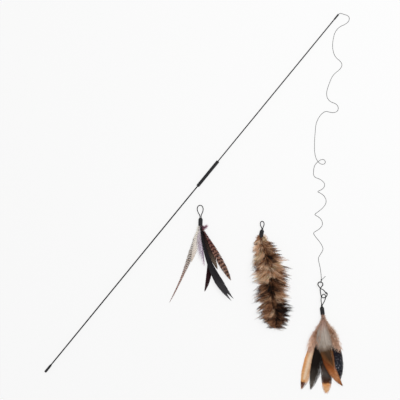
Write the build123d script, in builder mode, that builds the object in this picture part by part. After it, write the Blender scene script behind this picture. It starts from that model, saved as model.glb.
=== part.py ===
import math
import os

from build123d import *

os.makedirs("parts", exist_ok=True)

# A cat teaser wand with three feather lures, laid out on a table whose top is at z = 0.
# Lengths are in millimetres and angles in degrees, turned from +X towards +Y.

# Wand: two thin rods that meet in a soft sleeve, with a cap on each outer end
wand_heading = 50.65
tip_x = 289.14
tip_y = 377.56
wand_length = 926.0
lower_rod_diameter = 2.5
upper_rod_diameter = 2.2
sleeve_diameter = 6.5
sleeve_length = 65.0
sleeve_centre = 513.6
sleeve_web = 3.0
sleeve_round = 1.5
butt_cap_diameter = 4.8
butt_cap_mouth = 3.9
butt_cap_length = 19.0
butt_cap_grip = 13.0
butt_cap_floor = 2.0
butt_cap_round = 1.6
tip_cap_diameter = 3.4
tip_cap_mouth = 3.0
tip_cap_length = 13.0
tip_cap_floor = 1.5
tip_cap_round = 0.6
glue_gap = 0.05
slide_clearance = 0.05

# Cord: one limp length from the knot in the tip cap to the knot on the snap's eye
cord_diameter = 1.1
cord_hole_gap = 0.15
cord_exit_run = 2.4
cord_rest = cord_diameter / 2
hump_height = 4.4
anchor_knot_diameter = 2.1
anchor_knot_length = 2.2
knot_end_share = 0.6
knot_belly_share = 0.5
knot_space = 0.3

# Snap: a wire safety snap whose eye is wound in two turns, one on each side of the spring
eye_x = 252.6
eye_y = -162.6
eye_radius = 4.9
snap_wire = 1.9
snap_width = 13.9
snap_drop = 27.2
neck_angle = 38.0
neck_run = 7.3
turn_gap = 0.25
frame_shares = ((0.72, 0.596), (0.88, 0.603), (1.0, 0.676), (0.964, 0.809),
                (0.777, 0.97), (0.36, 1.0), (0.108, 0.868))
gate_shares = ((0.374, 0.382), (0.647, 0.53), (0.835, 0.695))

# Noose and knot that tie the cord to the eye, with the tag end left long
noose_angle = 75.0
noose_gap = 0.3
eye_knot_diameter = 3.2
eye_knot_length = 3.2
eye_knot_height = 2.6
eye_knot_space = 0.45
knot_run = 4.0
tag_space = 0.3
tag_length = 9.0
tag_heading = 40.0
tag_sag_share = 0.35

# Crimp: the black sleeve at the head of each lure, filled with glue
crimp_diameter = 8.8
crimp_wall = 0.7
crimp_length = 15.8
crimp_shoulder = 2.8
crimp_round = 1.2
crimp_neck = 5.0
plug_length = 9.0
leg_hole_depth = 4.0
quill_hole_depth = 4.0

# Loop: the doubled wire that stands out of each crimp
loop_wire = 1.7
leg_spacing = 2.1
neck_clearance = 0.15
leg_rise = 1.0
loop_shares = ((0.2, 0.2), (0.45, 0.78), (0.7, 1.0), (0.9, 0.8), (1.0, 0.3))

# The plume hangs in the snap: where the top of its loop lies there, and the headings of body and loop
loop_seat_share = 0.532
loop_overlap = 7.5
plume_heading = -82.7
plume_loop_heading = 79.6
plume_loop_length = 25.5
plume_loop_width = 11.4
plume_loop_roll = 32.0

# The spare lures lie beside the wand: how far back from its tip, and how far aside, the crimp's top is
streamer_back = 489.8
streamer_aside = 44.8
streamer_heading = -91.5
streamer_loop_heading = 92.7
streamer_loop_length = 25.0
streamer_loop_width = 12.3
tail_back = 430.0
tail_aside = 155.3
tail_heading = -103.0
tail_loop_heading = 90.9
tail_loop_length = 16.8
tail_loop_width = 7.9

# Feathers: each has its own length and width
quill_diameter = 0.9
quill_lap = 0.3
plume_neck = 7.0
streamer_neck = 1.0
quill_root_share = 0.8
hole_circle = 2.4
vane_thickness = 1.1
vane_gap = 0.25
settle_length = 10.0
front_length = 102.0
front_width = 38.0
rufous_length = 147.0
rufous_width = 20.0
slate_length = 131.0
slate_width = 22.0
black_length = 146.0
black_width = 25.0
tan_length = 150.0
tan_width = 24.0
dark_length = 154.0
dark_width = 24.0
left_down_length = 70.0
left_down_width = 23.0
right_down_length = 70.0
right_down_width = 25.0
grizzly_length = 166.0
grizzly_width = 13.0
satin_length = 165.0
satin_width = 16.0
maroon_length = 136.0
maroon_width = 11.0
pale_length = 74.0
pale_width = 14.0
barred_length = 124.0
barred_width = 14.0
lavender_length = 80.0
lavender_width = 13.0
ash_length = 93.0
ash_width = 11.0

# Half-widths of six kinds of feather, as (share of the length, share of the half-width)
hackle_shares = ((0.0, 0.2), (0.1, 0.72), (0.24, 1.0), (0.45, 0.96), (0.7, 0.72), (0.88, 0.4), (1.0, 0.05))
broad_shares = ((0.0, 0.1), (0.16, 0.4), (0.36, 0.8), (0.58, 1.0), (0.78, 0.9), (0.92, 0.5), (1.0, 0.06))
saddle_shares = ((0.0, 0.3), (0.12, 0.86), (0.28, 1.0), (0.5, 0.76), (0.7, 0.46), (0.88, 0.24), (1.0, 0.05))
sickle_shares = ((0.0, 0.3), (0.2, 0.55), (0.4, 0.78), (0.6, 0.92), (0.75, 1.0), (0.88, 0.72), (1.0, 0.12))
tuft_shares = ((0.0, 0.14), (0.2, 0.36), (0.42, 0.76), (0.65, 1.0), (0.85, 0.8), (1.0, 0.2))
down_shares = ((0.0, 0.16), (0.16, 0.62), (0.36, 0.96), (0.6, 1.0), (0.84, 0.66), (1.0, 0.12))

# A feather's cross-section, in shares of its half-width and of its thickness
ridge_share = 0.12
belly_share = 0.45
crown_share = 0.3
crown_bow_share = 0.24
ridge_top_share = 0.55

# Fluffy tail: whorls of short feathers round a core cord
core_diameter = 2.0
core_gap = 0.1
fluff_half_width = 31.0
fluff_height_share = 0.5
fluff_start = 2.0
tail_reach = 181.2
tail_route_shares = ((0.022, 0.106), (0.072, 0.216), (0.108, 0.338), (0.122, 0.459), (0.125, 0.58),
                     (0.13, 0.702), (0.155, 0.812), (0.176, 0.912), (0.169, 1.0))
whorls = 9
whorl_waist_share = 0.74
whorl_flare_share = 0.8
core_end_share = 0.94
fluff_shares = ((0.0, 0.22), (0.12, 0.56), (0.28, 0.88), (0.45, 1.0), (0.64, 0.97),
                (0.8, 0.86), (0.92, 0.7), (1.0, 0.3))

# Cord route: hand-chosen points from the tip of the wand down to the snap, each (x, y, z)
down = cord_rest
top = hump_height
cord_route = [
    (295.0, 379.5, 1.9), (301.0, 377.5, 0.7), (307.0, 376.0, down), (311.0, 372.0, down),
    (311.2, 367.5, down), (308.5, 362.0, down), (301.5, 357.0, down), (293.5, 354.0, down),
    (287.0, 348.5, down), (282.0, 341.0, down), (279.5, 332.0, down), (277.5, 319.5, down),
    (277.7, 308.0, down), (281.0, 296.0, down), (286.5, 289.0, down), (292.0, 285.0, down),
    (296.5, 279.0, down), (296.0, 273.0, down), (291.0, 266.5, down), (282.5, 260.0, down),
    (276.5, 253.0, down), (272.5, 243.5, down), (268.0, 231.5, down), (265.5, 222.0, down),
    (265.8, 214.0, down), (268.3, 208.0, down), (273.0, 203.0, down), (279.5, 200.5, down),
    (286.0, 197.5, down), (289.5, 191.0, down), (288.0, 184.8, down), (283.5, 181.5, down),
    (277.0, 180.8, down), (270.5, 182.2, down), (265.0, 183.8, down), (260.0, 182.0, down),
    (254.0, 177.0, down), (248.0, 168.0, down), (244.0, 157.5, down), (242.8, 143.0, down),
    (241.4, 124.0, down), (241.2, 106.0, down), (242.8, 94.5, down), (245.6, 86.5, down),
    (251.0, 79.6, down), (257.0, 77.0, down), (262.0, 78.5, 0.6), (263.6, 82.8, 1.2),
    (260.2, 87.2, 2.4), (254.4, 87.0, 3.7), (250.2, 84.4, top), (245.4, 80.4, top),
    (241.9, 76.0, 3.0), (240.2, 70.5, 1.2), (239.2, 62.5, down), (239.4, 55.5, down),
    (243.0, 50.8, down), (249.8, 48.8, down), (256.5, 45.0, down), (261.0, 40.0, down),
    (262.0, 35.8, down), (260.4, 31.0, down), (256.4, 27.3, down), (251.4, 24.8, down),
    (248.4, 23.6, down), (248.2, 21.9, down), (250.6, 20.9, down), (254.2, 19.2, down),
    (259.5, 15.5, down), (263.8, 9.0, down), (265.0, 2.8, down), (263.2, -3.0, down),
    (258.0, -10.0, down), (250.4, -16.2, down), (245.2, -20.0, down), (242.2, -22.4, down),
    (242.2, -24.0, down), (244.8, -25.3, down), (249.2, -27.9, down), (254.0, -32.0, down),
    (257.0, -37.5, down), (257.5, -43.0, down), (255.2, -48.0, down), (250.0, -53.0, down),
    (244.5, -56.2, down), (240.6, -58.4, down), (239.4, -61.0, down), (241.0, -64.4, down),
    (244.7, -69.3, down), (249.8, -75.5, down), (255.3, -83.0, down), (258.3, -89.2, down),
    (258.3, -94.0, down), (256.0, -98.6, down), (252.2, -104.2, down), (249.6, -108.8, down),
    (249.2, -113.2, down), (250.2, -119.0, down), (252.1, -126.6, down), (253.4, -134.0, 0.7),
    (254.2, -141.5, 1.6),
]

# Worked out from the sizes above
corner_share = 0.45
rod_height = sleeve_diameter / 2
lure_height = crimp_diameter / 2
gate_height = lure_height + snap_wire + turn_gap
plug_diameter = crimp_diameter - 2 * (crimp_wall + glue_gap)
neck_hole = leg_spacing + loop_wire + 2 * neck_clearance
level_step = vane_thickness + vane_gap
first_level = vane_gap + belly_share * vane_thickness


def heading_vector(angle):
    return Vector(math.cos(math.radians(angle)), math.sin(math.radians(angle)), 0)


def across_plane(point, direction):
    # A plane square to a level direction, whose own Y axis points up
    return Plane(origin=point, x_dir=Vector(-direction.Y, direction.X, 0), z_dir=direction)


def corner_radii(points):
    # Each corner is as round as its shorter run allows
    route = [Vector(point) for point in points]
    radii = []
    for before, corner, after in zip(route, route[1:], route[2:]):
        run_in = corner - before
        run_out = after - corner
        half_turn = math.radians(run_in.get_angle(run_out)) / 2
        radii.append(corner_share * min(run_in.length, run_out.length) / math.tan(half_turn))
    return radii


def read_share(table, place):
    # The value of a table of shares at a place between two of its rows
    for (low, low_value), (high, high_value) in zip(table, table[1:]):
        if low <= place <= high:
            return low_value + (high_value - low_value) * (place - low) / (high - low)
    return table[-1][1]


def keep(piece, label):
    piece.part.label = label
    export_step(piece.part, f"parts/{label}.step")


# The wand's own plane: X runs along the rods from the butt, Y is the radius
wand_tip = Vector(tip_x, tip_y, rod_height)
wand = Plane(origin=wand_tip - heading_vector(wand_heading) * wand_length,
             x_dir=heading_vector(wand_heading), z_dir=(0, 0, 1))
wand_axis = Axis(wand.origin, wand.x_dir)


def wand_station(distance):
    return wand.origin + wand.x_dir * distance


def beside_wand(back, aside):
    # The top of a spare lure's crimp
    spot = wand_tip - wand.x_dir * back - wand.y_dir * aside
    return Vector(spot.X, spot.Y, lure_height)


# Butt cap: a dipped cap with a closed round end and a thinner mouth
with BuildPart() as butt_cap:
    with BuildSketch(wand) as butt_profile:
        with BuildLine():
            Polyline((0, 0), (0, butt_cap_diameter / 2), (butt_cap_grip, butt_cap_diameter / 2),
                     (butt_cap_length, butt_cap_mouth / 2),
                     (butt_cap_length, lower_rod_diameter / 2 + glue_gap),
                     (butt_cap_floor, lower_rod_diameter / 2 + glue_gap),
                     (butt_cap_floor, 0), close=True)
        make_face()
        fillet(butt_profile.vertices().group_by(Axis.Y)[-1].sort_by(Axis.X)[0], butt_cap_round)
    revolve(axis=wand_axis)
keep(butt_cap, "butt_cap")

# Lower rod, glued into the butt cap and into the sleeve's near half
lower_rod_start = butt_cap_floor + glue_gap
lower_rod_end = sleeve_centre - sleeve_web / 2 - glue_gap
with BuildPart() as lower_rod:
    with BuildSketch(across_plane(wand_station(lower_rod_start), wand.x_dir)):
        Circle(lower_rod_diameter / 2)
    extrude(amount=lower_rod_end - lower_rod_start)
keep(lower_rod, "lower_rod")

# Connector sleeve, with a web in the middle that stops both rods
sleeve_start = sleeve_centre - sleeve_length / 2
sleeve_end = sleeve_centre + sleeve_length / 2
lower_bore = lower_rod_diameter / 2 + glue_gap
upper_bore = upper_rod_diameter / 2 + slide_clearance
with BuildPart() as connector_sleeve:
    with BuildSketch(wand) as sleeve_profile:
        with BuildLine():
            Polyline((sleeve_start, lower_bore), (sleeve_start, sleeve_diameter / 2),
                     (sleeve_end, sleeve_diameter / 2), (sleeve_end, upper_bore),
                     (sleeve_centre + sleeve_web / 2, upper_bore),
                     (sleeve_centre + sleeve_web / 2, 0), (sleeve_centre - sleeve_web / 2, 0),
                     (sleeve_centre - sleeve_web / 2, lower_bore), close=True)
        make_face()
        fillet(sleeve_profile.vertices().group_by(Axis.Y)[-1], sleeve_round)
    revolve(axis=wand_axis)
keep(connector_sleeve, "connector_sleeve")

# Upper rod, which slides out of the sleeve, glued into the tip cap
anchor_end = wand_length - tip_cap_floor
anchor_start = anchor_end - anchor_knot_length
upper_rod_start = sleeve_centre + sleeve_web / 2 + slide_clearance
upper_rod_end = anchor_start - knot_space
with BuildPart() as upper_rod:
    with BuildSketch(across_plane(wand_station(upper_rod_start), wand.x_dir)):
        Circle(upper_rod_diameter / 2)
    extrude(amount=upper_rod_end - upper_rod_start)
keep(upper_rod, "upper_rod")

# Tip cap, with a hole in its end for the cord
tip_cap_start = wand_length - tip_cap_length
tip_bore = upper_rod_diameter / 2 + glue_gap
cord_hole = cord_diameter / 2 + cord_hole_gap
with BuildPart() as tip_cap:
    with BuildSketch(wand) as tip_profile:
        with BuildLine():
            Polyline((tip_cap_start, tip_bore), (tip_cap_start, tip_cap_mouth / 2),
                     (wand_length, tip_cap_diameter / 2), (wand_length, cord_hole),
                     (anchor_end, cord_hole), (anchor_end, tip_bore), close=True)
        make_face()
        fillet(tip_profile.vertices().sort_by(Axis.Y)[-1], tip_cap_round)
    revolve(axis=wand_axis)
keep(tip_cap, "tip_cap")


def knot_piece(label, centre, direction, diameter, length):
    # A pulled-tight knot: a barrel that tapers to flat ends along the cord
    lay = Plane(origin=centre, x_dir=direction, z_dir=(0, 0, 1))
    end_radius = knot_end_share * diameter / 2
    belly = knot_belly_share * length / 2
    with BuildPart() as knot:
        with BuildSketch(lay):
            with BuildLine():
                Polyline((length / 2, 0), (length / 2, end_radius), (belly, diameter / 2), (-belly, diameter / 2),
                         (-length / 2, end_radius), (-length / 2, 0), close=True)
            make_face()
        revolve(axis=Axis(lay.origin, lay.x_dir))
    keep(knot, label)


def bent_wire(label, points, diameter):
    # A round wire or cord along straight runs that are joined by tangent arcs
    with BuildPart() as bent:
        with BuildLine() as path:
            FilletPolyline(*points, radius=corner_radii(points))
        with BuildSketch(Plane(origin=path.line @ 0, z_dir=path.line % 0)):
            Circle(diameter / 2)
        sweep()
    keep(bent, label)
    length = path.wire().length
    tube_volume = math.pi * diameter ** 2 / 4 * length
    print(label, "length", round(length, 1), "volume over section times length",
          round(bent.part.volume / tube_volume, 4))


# Anchor knot, trapped behind the tip cap's end wall
knot_piece("cord_anchor_knot", wand_station((anchor_start + anchor_end) / 2), wand.x_dir,
           anchor_knot_diameter, anchor_knot_length)

# Noose round both turns of the eye, and the knot that closes it
eye_centre = Vector(eye_x, eye_y, 0)
noose_out = heading_vector(noose_angle)
noose_inside = snap_wire / 2 + noose_gap
noose_line = noose_inside + cord_diameter / 2
noose_centre = eye_centre + noose_out * eye_radius + Vector(0, 0, (lure_height + gate_height) / 2)
noose_plane = Plane(origin=noose_centre, x_dir=noose_out, z_dir=noose_out.cross(Vector(0, 0, 1)))
noose_side = (gate_height - lure_height) / 2
with BuildPart() as eye_noose:
    with BuildLine(noose_plane) as noose_path:
        right_side = Line((noose_line, -noose_side), (noose_line, noose_side))
        over = JernArc(right_side @ 1, right_side % 1, noose_line, 180)
        left_side = Line(over @ 1, (-noose_line, -noose_side))
        JernArc(left_side @ 1, left_side % 1, noose_line, 180)
    with BuildSketch(Plane(origin=noose_path.line @ 0, z_dir=noose_path.line % 0)):
        Circle(cord_diameter / 2)
    sweep()
keep(eye_noose, "eye_noose")

knot_low = noose_centre.Z - noose_side - eye_knot_height
knot_reach = noose_line + cord_diameter / 2 + eye_knot_diameter / 2 + eye_knot_space
knot_out = eye_radius + math.sqrt(knot_reach ** 2 - knot_low ** 2)
knot_centre = eye_centre + noose_out * knot_out + Vector(0, 0, eye_knot_height)
knot_up = Vector(0, 1, 0)
knot_piece("eye_knot", knot_centre, knot_up, eye_knot_diameter, eye_knot_length)

# Tag end of the cord, which droops from the knot to the table
tag_way = heading_vector(tag_heading)
tag_start = knot_centre + tag_way * (eye_knot_diameter / 2 + tag_space)
tag_low = Vector(0, 0, cord_rest - eye_knot_height)
tag_points = [tag_start, tag_start + tag_way * (tag_length / 2) + tag_low * tag_sag_share,
              tag_start + tag_way * tag_length + tag_low]
bent_wire("cord_tag", tag_points, cord_diameter)

# The cord itself
cord_end = knot_centre + knot_up * (eye_knot_length / 2)
cord_points = [wand_station(anchor_end), wand_station(wand_length + cord_exit_run)]
cord_points += [Vector(point) for point in cord_route]
cord_points += [cord_end + knot_up * knot_run, cord_end]
print("cord radii", [round(radius, 1) for radius in corner_radii(cord_points)])
bent_wire("cord", cord_points, cord_diameter)


# Snap: each half is one turn of the eye and its own leg
def snap_point(share):
    return (share[0] * snap_width, -share[1] * snap_drop)


eye_turn = 180 + 2 * neck_angle
neck_sine = math.sin(math.radians(neck_angle))
neck_cosine = math.cos(math.radians(neck_angle))
tangent_x = eye_radius * neck_cosine
tangent_y = -eye_radius * neck_sine
neck_x = tangent_x - neck_run * neck_sine
neck_y = tangent_y - neck_run * neck_cosine
frame_points = [snap_point(share) for share in frame_shares]
frame_points += [(neck_x, neck_y), (tangent_x, tangent_y)]
gate_points = [(-tangent_x, tangent_y), (-neck_x, neck_y)]
gate_points += [snap_point(share) for share in gate_shares]

frame_plane = Plane(origin=(eye_x, eye_y, lure_height))
with BuildPart() as snap_frame:
    with BuildLine(frame_plane) as frame_path:
        FilletPolyline(*frame_points, radius=corner_radii(frame_points))
        CenterArc((0, 0), eye_radius, -neck_angle, eye_turn)
    with BuildSketch(Plane(origin=frame_path.line @ 0, z_dir=frame_path.line % 0)):
        Circle(snap_wire / 2)
    sweep()
keep(snap_frame, "snap_frame")

gate_plane = Plane(origin=(eye_x, eye_y, gate_height))
with BuildPart() as snap_gate:
    with BuildLine(gate_plane) as gate_path:
        CenterArc((0, 0), eye_radius, -neck_angle, eye_turn)
        FilletPolyline(*gate_points, radius=corner_radii(gate_points))
    with BuildSketch(Plane(origin=gate_path.line @ 0, z_dir=gate_path.line % 0)):
        Circle(snap_wire / 2)
    sweep()
keep(snap_gate, "snap_gate")


# Lure heads: loop, crimp and glue plug
def lure_loop(name, crimp_top, heading, loop_heading, length, width, roll):
    # Both legs follow the crimp's axis, then the loop leans and rolls its own way
    back = heading_vector(heading + 180)
    out = heading_vector(loop_heading)
    tilt = Vector(0, 0, math.sin(math.radians(roll)))
    flat_share = math.cos(math.radians(roll))
    leg_side = (heading_vector(heading + 90) * flat_share - tilt) * (leg_spacing / 2)
    loop_side = (heading_vector(loop_heading - 90) * flat_share - tilt) * (width / 2)
    foot = crimp_top - back * (crimp_wall + leg_hole_depth)
    rise = crimp_top + back * leg_rise
    right = [crimp_top + out * (along * length) + loop_side * wide for along, wide in loop_shares]
    left = [crimp_top + out * (along * length) - loop_side * wide for along, wide in loop_shares]
    points = [foot + leg_side, rise + leg_side] + right
    points += left[::-1] + [rise - leg_side, foot - leg_side]
    bent_wire(name + "_loop", points, loop_wire)


def lure_crimp(name, crimp_top, heading):
    lay = Plane(origin=crimp_top, x_dir=heading_vector(heading), z_dir=(0, 0, 1))
    with BuildPart() as crimp:
        with BuildSketch(lay) as profile:
            with BuildLine():
                Polyline((0, neck_hole / 2), (0, crimp_neck / 2), (crimp_shoulder, crimp_diameter / 2),
                         (crimp_length, crimp_diameter / 2), (crimp_length, crimp_diameter / 2 - crimp_wall),
                         (crimp_shoulder, crimp_diameter / 2 - crimp_wall),
                         (crimp_wall, neck_hole / 2), close=True)
            make_face()
            fillet(profile.vertices().group_by(Axis.Y)[-1].sort_by(Axis.X)[0], crimp_round)
        revolve(axis=Axis(lay.origin, lay.x_dir))
    keep(crimp, name + "_crimp")


def lure_plug(name, crimp_top, heading, roll, quills, quill_size, circle):
    # Glue that fills the crimp below its shoulder, round the loop's legs and the quills
    way = heading_vector(heading)
    head = across_plane(crimp_top + way * (crimp_shoulder + glue_gap), way)
    foot = across_plane(head.origin + way * plug_length, way)
    with BuildPart() as plug:
        with BuildSketch(head):
            Circle(plug_diameter / 2)
        extrude(amount=plug_length)
        with BuildSketch(head):
            with PolarLocations(leg_spacing / 2, 2, start_angle=-roll):
                Circle(loop_wire / 2 + glue_gap)
        extrude(amount=leg_hole_depth, mode=Mode.SUBTRACT)
        with BuildSketch(foot):
            with PolarLocations(circle, quills, start_angle=-90):
                Circle(quill_size / 2 + glue_gap)
        extrude(amount=-quill_hole_depth, mode=Mode.SUBTRACT)
    keep(plug, name + "_glue")
    return foot


# Feathers: a quill in the glue, then a vane that settles at its own level and curves away
def feather(label, plug_foot, heading, order, count, neck, kind):
    length, width, fan, bend, shares = kind
    step = 360 / count
    hole_angle = -90 + step * ((order + 1) // 2) * (-1 if order % 2 else 1)
    hole = (hole_circle * math.cos(math.radians(hole_angle)), hole_circle * math.sin(math.radians(hole_angle)))
    way = heading_vector(heading)
    quill_length = quill_hole_depth + crimp_length - crimp_shoulder - glue_gap - plug_length + neck
    quill_end = plug_foot.from_local_coords((hole[0], hole[1], quill_length - quill_hole_depth))
    level = first_level + order * level_step
    stations = [(0, quill_root_share * quill_diameter / 2)]
    stations += [(settle_length + along * (length - settle_length), wide * width / 2) for along, wide in shares]
    with BuildPart() as whole:
        with BuildSketch(across_plane(quill_end - way * quill_length, way)):
            Circle(quill_diameter / 2)
        extrude(amount=quill_length + quill_lap)
        for distance, half_width in stations:
            half_turn = bend * distance / length / 2
            chord = distance
            if half_turn:
                chord = distance * math.sin(math.radians(half_turn)) / math.radians(half_turn)
            spot = quill_end + heading_vector(heading + fan + half_turn) * chord
            settled_share = min(1, distance / settle_length)
            height = quill_end.Z + (level - quill_end.Z) * settled_share
            thickness = min(vane_thickness, half_width)
            way_there = heading_vector(heading + (fan + 2 * half_turn) * settled_share)
            ridge = ridge_share * half_width
            bow = ((half_width + ridge) / 2, crown_bow_share * thickness)
            crown = crown_share * thickness
            with BuildSketch(across_plane(Vector(spot.X, spot.Y, height), way_there)):
                with BuildLine():
                    ThreePointArc((-half_width, 0), (0, -belly_share * thickness), (half_width, 0))
                    ThreePointArc((half_width, 0), bow, (ridge, crown))
                    ThreePointArc((ridge, crown), (0, ridge_top_share * thickness), (-ridge, crown))
                    ThreePointArc((-ridge, crown), (-bow[0], bow[1]), (-half_width, 0))
                make_face()
        loft(ruled=True)
    keep(whole, label)


# The plume on the snap; each row is length, width, fan from the lure's axis, bend and outline
plume_feathers = {
    "plume_dark_feather": (dark_length, dark_width, 1, -12, broad_shares),
    "plume_tan_feather": (tan_length, tan_width, -27, 7, broad_shares),
    "plume_slate_feather": (slate_length, slate_width, 20, -26, broad_shares),
    "plume_black_feather": (black_length, black_width, -12, -9, broad_shares),
    "plume_rufous_feather": (rufous_length, rufous_width, -19, 54, broad_shares),
    "plume_left_down": (left_down_length, left_down_width, -31, 6, tuft_shares),
    "plume_right_down": (right_down_length, right_down_width, 21, -6, tuft_shares),
    "plume_front_feather": (front_length, front_width, -11, 33, down_shares),
}
# The streamers
streamer_feathers = {
    "streamer_maroon_feather": (maroon_length, maroon_width, 29, -48, sickle_shares),
    "streamer_grizzly_feather": (grizzly_length, grizzly_width, -13, -14, saddle_shares),
    "streamer_ash_feather": (ash_length, ash_width, 20, 4, broad_shares),
    "streamer_pale_feather": (pale_length, pale_width, -8, -6, hackle_shares),
    "streamer_barred_feather": (barred_length, barred_width, 29, 2, broad_shares),
    "streamer_lavender_down": (lavender_length, lavender_width, 9, -2, down_shares),
    "streamer_satin_feather": (satin_length, satin_width, 6, 38, sickle_shares),
}

loop_top = Vector(eye_x + loop_seat_share * snap_width, eye_y - snap_drop + loop_overlap, lure_height)
plume_top = loop_top - heading_vector(plume_loop_heading) * plume_loop_length
lure_loop("plume", plume_top, plume_heading, plume_loop_heading, plume_loop_length, plume_loop_width,
          plume_loop_roll)
lure_crimp("plume", plume_top, plume_heading)
plume_foot = lure_plug("plume", plume_top, plume_heading, plume_loop_roll, len(plume_feathers),
                       quill_diameter, hole_circle)
for order, (label, kind) in enumerate(plume_feathers.items()):
    feather(label, plume_foot, plume_heading, order, len(plume_feathers), plume_neck, kind)

streamer_top = beside_wand(streamer_back, streamer_aside)
lure_loop("streamer", streamer_top, streamer_heading, streamer_loop_heading, streamer_loop_length,
          streamer_loop_width, 0)
lure_crimp("streamer", streamer_top, streamer_heading)
streamer_foot = lure_plug("streamer", streamer_top, streamer_heading, 0, len(streamer_feathers),
                          quill_diameter, hole_circle)
for order, (label, kind) in enumerate(streamer_feathers.items()):
    feather(label, streamer_foot, streamer_heading, order, len(streamer_feathers), streamer_neck, kind)

# The fluffy tail: its core cord runs from the glue nearly to the end of the fluff
tail_top = beside_wand(tail_back, tail_aside)
lure_loop("tail", tail_top, tail_heading, tail_loop_heading, tail_loop_length, tail_loop_width, 0)
lure_crimp("tail", tail_top, tail_heading)
tail_foot = lure_plug("tail", tail_top, tail_heading, 0, 1, core_diameter, 0)

tail_way = heading_vector(tail_heading)
tail_mouth = tail_top + tail_way * crimp_length
tail_points = [tail_foot.origin - tail_way * quill_hole_depth, tail_mouth + tail_way * fluff_start]
tail_points += [tail_mouth + Vector(right * tail_reach, -below * tail_reach, 0)
                for right, below in tail_route_shares]
with BuildLine() as tail_path:
    FilletPolyline(*tail_points, radius=corner_radii(tail_points))
tail_line = tail_path.wire()
core_line = tail_line.trim(0, core_end_share)
fluff_from = crimp_length - crimp_shoulder - glue_gap - plug_length + quill_hole_depth + fluff_start
fluff_share = fluff_from / tail_line.length

with BuildPart() as tail_core:
    with BuildSketch(Plane(origin=core_line @ 0, z_dir=core_line % 0)):
        Circle(core_diameter / 2)
    sweep(path=core_line)
keep(tail_core, "tail_core")

with BuildPart() as tail_fluff:
    for ring in range(2 * whorls + 1):
        whorl_share = whorl_flare_share if ring % 2 else 0
        along = min(1, (ring // 2 + whorl_share) / whorls)
        flare = 1 if ring % 2 else whorl_waist_share
        half_width = fluff_half_width * read_share(fluff_shares, along) * flare
        half_height = half_width * fluff_height_share
        place = fluff_share + along * (1 - fluff_share)
        spot = tail_line @ place
        with BuildSketch(across_plane(Vector(spot.X, spot.Y, half_height), tail_line % place)):
            Ellipse(half_width, half_height)
    loft(ruled=True)
    with BuildSketch(Plane(origin=core_line @ 0, z_dir=core_line % 0)):
        Circle(core_diameter / 2 + core_gap)
    sweep(path=core_line, mode=Mode.SUBTRACT)
keep(tail_fluff, "tail_fluff")
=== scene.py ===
import math
import random

import bpy
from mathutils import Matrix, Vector


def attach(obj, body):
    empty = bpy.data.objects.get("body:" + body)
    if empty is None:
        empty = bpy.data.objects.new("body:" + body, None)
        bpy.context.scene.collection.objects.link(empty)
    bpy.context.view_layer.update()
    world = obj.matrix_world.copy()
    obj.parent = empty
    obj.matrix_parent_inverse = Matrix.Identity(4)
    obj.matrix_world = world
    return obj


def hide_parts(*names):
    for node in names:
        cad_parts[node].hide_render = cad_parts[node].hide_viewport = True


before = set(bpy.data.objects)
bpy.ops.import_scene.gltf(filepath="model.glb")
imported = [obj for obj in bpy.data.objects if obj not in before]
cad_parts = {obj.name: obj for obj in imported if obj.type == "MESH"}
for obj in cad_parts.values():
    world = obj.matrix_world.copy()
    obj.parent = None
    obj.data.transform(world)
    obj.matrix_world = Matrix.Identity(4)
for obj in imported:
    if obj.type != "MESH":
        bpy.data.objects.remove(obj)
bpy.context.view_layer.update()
bpy.ops.object.select_all(action="DESELECT")
print("frame loaded,", len(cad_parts), "nodes")

mm = 0.001  # the shapes below are worked out in millimetres
upward = Vector((0, 0, 1))


# Colour, node and mesh helpers
def linearColour(code):  # sRGB hex to linear RGBA
    channels = [int(code[i:i + 2], 16) / 255 for i in (1, 3, 5)]
    return [c / 12.92 if c <= 0.04045 else ((c + 0.055) / 1.055) ** 2.4 for c in channels] + [1.0]


def addNode(mat, kind, values=None, links=None, **settings):
    node = mat.node_tree.nodes.new(kind)
    for key, value in settings.items():
        setattr(node, key, value)
    for socket, value in (values or {}).items():
        node.inputs[socket].default_value = value
    for socket, source in (links or {}).items():
        mat.node_tree.links.new(source, node.inputs[socket])
    return node


def newMaterial(name, roughness, ior=1.5, specular=0.5):
    mat = bpy.data.materials.new(name)
    mat.use_nodes = True
    shader = mat.node_tree.nodes["Principled BSDF"]
    shader.inputs["Roughness"].default_value = roughness
    shader.inputs["IOR"].default_value = ior
    shader.inputs["Specular IOR Level"].default_value = specular
    return mat, shader


def setStops(ramp, stops):  # stops are (place, hex colour)
    points = ramp.color_ramp.elements
    while len(points) < len(stops):
        points.new(0.5)
    for point, (place, code) in zip(points, stops):
        point.position = place
        point.color = linearColour(code)


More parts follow.
